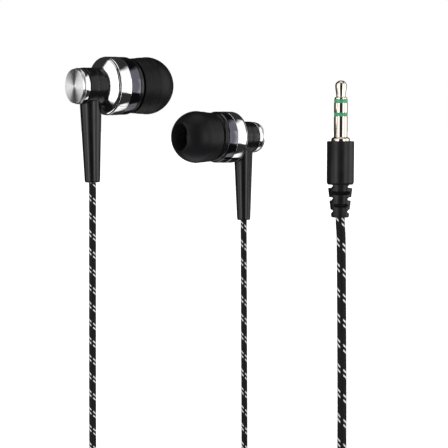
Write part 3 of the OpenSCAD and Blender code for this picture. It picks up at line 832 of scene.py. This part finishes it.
def slot_tool(x, turn, sign):
    """A rounded block that cuts one slot, from one side, down to the tail's core."""
    bm = bmesh.new()
    bmesh.ops.create_cube(bm, size=1)
    bmesh.ops.scale(bm, vec=(SLOT * MM, 4 * MM, 8 * MM), verts=bm.verts)
    bmesh.ops.bevel(bm, geom=bm.edges, offset=0.3 * MM, segments=3, affect="EDGES")
    middle = Vector(((x + SLOT / 2) * MM, sign * (CORE_R + 2) * MM, 0))
    bmesh.ops.translate(bm, vec=middle, verts=bm.verts)
    bmesh.ops.rotate(bm, cent=(0, 0, 0), matrix=Matrix.Rotation(turn, 3, "X"), verts=bm.verts)
    return mesh_of("slot", bm)


slots = []
for i in range(5):
    turn = pi / 2 if i % 2 == 0 else 0
    slots += [slot_tool(RELIEF_TOP + 0.1 + SLOT_STEP * i, turn, sign) for sign in (-1, 1)]
slotted = cut(spin("grip", grip, 96), *slots)
piece("plug_moulded_grip", slotted, plug_place, "earphones", "moulded_pvc", "plug_grip")
print("slots:", len(slots))

# %% [markdown]
# ## Splitter and tie
# The splitter is a small moulded sleeve where the two earbud cords become one. It is spun like the
# turned parts, and then the two small holes for the earbud cords are cut in its end.

# %% Splitter
SLEEVE_R = 2.2
BRANCH_HOLE_R = 0.82
BRANCH_OFF = 0.9  # each earbud cord's distance from the sleeve's axis
splitter_place = Matrix.Translation(Vector((39.8, -26.1, GROUND + SLEEVE_R)) * MM)
splitter_place @= Matrix.Rotation(atan2(4, 3), 4, "Z")
sleeve = [(0, -7, 0), (SLEEVE_R, -7, 0.45), (SLEEVE_R, 4, 1.2), (1.6, 7, 0.3), (1.22, 7, 0.05),
          (1.22, 0, 0), (0, 0, 0)]
holes = []
for y in (-BRANCH_OFF, BRANCH_OFF):
    hole = spin("hole", [(0, -8, 0), (BRANCH_HOLE_R, -8, 0), (BRANCH_HOLE_R, -3, 0), (0, -3, 0)], 32)
    hole.transform(Matrix.Translation((0, y * MM, 0)))
    holes.append(hole)
splitter = piece("splitter_moulding", cut(spin("splitter", sleeve, 96), *holes), splitter_place, "earphones",
                 "moulded_pvc", "splitter_sleeve")
print("splitter", splitter.name)

# %% [markdown]
# A flat plastic-covered wire tie goes round the coil: two thin wings with the wire's round ridge
# between them. Its section is swept round the coil's own section, which is nearly a rounded box.

# %% Wire tie
TIE_TURN = radians(200)
half_wide = (COIL_OUT - COIL_IN) / 2 + 1.35
half_tall = LAYER * LAYERS / 2 + 0.3
tie_mid = ((COIL_OUT + COIL_IN) / 2 + 0.1, COIL_LIFT + LAYER * LAYERS / 2)


def tie_point(t):
    """A rounded box round the coil's section, as a fraction of the way round."""
    c, s = cos(2 * pi * t), sin(2 * pi * t)
    reach = (abs(c) ** 6 + abs(s) ** 6) ** (-1 / 6)
    return (tie_mid[0] + half_wide * c * reach, tie_mid[1] + half_tall * s * reach)


bm = bmesh.new()
section = [(-1.3, 0.06), (-0.35, 0.08), (-0.25, 0.2), (0.25, 0.2), (0.35, 0.08), (1.3, 0.06),
           (1.3, -0.06), (-1.3, -0.06)]
rings = []
TIE_STEPS = 96
for i in range(TIE_STEPS):
    x, z = tie_point(i / TIE_STEPS)
    nx, nz = tie_point((i + 1) / TIE_STEPS)
    px, pz = tie_point((i - 1) / TIE_STEPS)
    out = Vector((nz - pz, px - nx)).normalized()
    rings.append([bm.verts.new(((x + h * out.x) * MM, w * MM, (z + h * out.y) * MM)) for w, h in section])
for i in range(TIE_STEPS):
    a, b = rings[i], rings[(i + 1) % TIE_STEPS]
    for k in range(len(section)):
        n = (k + 1) % len(section)
        bm.faces.new([a[k], a[n], b[n], b[k]])
tie_place = Matrix.Translation(Vector((*COIL_AT, GROUND)) * MM) @ Matrix.Rotation(TIE_TURN, 4, "Z")
tie = piece("coil_wire_tie", mesh_of("tie", bm), tie_place, "earphones", "black_wire_tie", "coil_tie")
print("tie steps:", TIE_STEPS)

# %% [markdown]
# ## Pieces kept from the CAD
# The driver and the other inner parts have the right shape already. They only need their finishes, and
# the record says which. The nodes that a piece stands for get theirs too, though they are hidden.

# %% Finish the CAD nodes
slots_of = {s["node"]: s["material_slot"] for s in frame["record"]["subparts"]}
for node, thing in frame["nodes"].items():
    thing.data.materials.clear()
    thing.data.materials.append(finishes[slots_of[node]])
print("CAD nodes finished:", len(slots_of))

# %% [markdown]
# ## Cord facts
# Each cord's tube, path and length are taken up again from the list of cords.
# The two earbud cords end in the splitter. The main cord leaves the splitter and ends in the plug.

for side in SIDES:
    tube, path, length = cords[side]
tube, path, length = cords["main"]
print("cords declared:", len(cords))

# %% [markdown]
# ## Floor and light
# The floor is plain and white. It glows a little, so that no shadow is left on it, and polished metal
# doesn't mirror it.

# %% Floor
bm = bmesh.new()
bmesh.ops.create_grid(bm, x_segments=8, y_segments=8, size=6)
floor_mesh = mesh_of("floor", bm)
floor_mesh.transform(Matrix.Translation((0, 0, GROUND * MM)))
floor = bpy.data.objects.new("floor", floor_mesh)
bpy.context.scene.collection.objects.link(floor)
white = bpy.data.materials.new("floor_white")
white.use_nodes = True
paper = white.node_tree.nodes["Principled BSDF"]
paper.inputs["Base Color"].default_value = (0.9, 0.9, 0.9, 1)
paper.inputs["Roughness"].default_value = 0.9
paper.inputs["Emission Color"].default_value = (1, 1, 1, 1)
paper.inputs["Emission Strength"].default_value = 0.8
floor_mesh.materials.append(white)
floor.visible_glossy = False
print("floor at", GROUND, "mm")

# %% [markdown]
# The light is a studio's: tall soft boxes on both sides, bright strips in them for the fine lines on
# the stems and the plug, a softer light overhead, and dark gaps in front and behind. Polished metal
# shows them as clean white and black bands. Lamps could do it too, but one sky shader keeps the light
# in the same places for every view, and it can have as many boxes as the metal needs.

# %% Studio sky
DARK = 0.03  # how bright the gaps are
sky = bpy.data.worlds.new("studio")
bpy.context.scene.world = sky
sky.use_nodes = True
tree = sky.node_tree
where = tree.nodes.new("ShaderNodeTexCoord")
axes = tree.nodes.new("ShaderNodeSeparateXYZ")
tree.links.new(where.outputs["Generated"], axes.inputs[0])
facing = math_node(tree, "MULTIPLY", axes.outputs["Y"], -1.0)
bearing = math_node(tree, "ARCTAN2", axes.outputs["X"], facing)
height = math_node(tree, "ARCSINE", axes.outputs["Z"])


def soft_box(left, right, low, high, soft, power):
    """A box of light between two bearings from the camera's side and two heights, in degrees."""
    def edge(value, start, end):
        return ramp(tree, value, radians(start), radians(end))
    sides = edge(bearing, left - soft, left + soft), edge(bearing, right + soft, right - soft)
    across = math_node(tree, "MULTIPLY", *sides)
    ends = edge(height, low - 3, low + 3), edge(height, high + 5, high - 5)
    up = math_node(tree, "MULTIPLY", *ends)
    return math_node(tree, "MULTIPLY", math_node(tree, "MULTIPLY", across, up), power)


boxes = [soft_box(-97, -25, -30, 52, 6, 1.4),      # tall box on the left
         soft_box(23, 124, -22, 50, 6, 1.1),       # tall box on the right
         soft_box(-50, -38, -22, 20, 3, 3.2),      # strips
         soft_box(34, 48, -22, 20, 3, 3.0),
         soft_box(80, 96, -22, 20, 4, 2.0),
         soft_box(110, 200, -95, -48, 5, 1.1),     # light thrown up from the ground behind
         soft_box(-200, -108, -95, -46, 5, 1.1),
         soft_box(-200, 200, 64, 200, 5, 0.9)]     # overhead
glow = boxes[0]
for box in boxes[1:]:
    glow = math_node(tree, "ADD", glow, box)
glow = math_node(tree, "ADD", glow, DARK)
seen = tree.nodes.new("ShaderNodeLightPath")
power = tree.nodes.new("ShaderNodeMix")
power.data_type = "FLOAT"
power.inputs["B"].default_value = 1.0
tree.links.new(seen.outputs["Is Camera Ray"], power.inputs["Factor"])
tree.links.new(glow, power.inputs["A"])
tree.links.new(power.outputs["Result"], tree.nodes["Background"].inputs["Strength"])
tree.nodes["Background"].inputs["Color"].default_value = (1, 1, 1, 1)
bpy.context.scene.view_settings.view_transform = "Standard"
print("sky nodes:", len(tree.nodes))
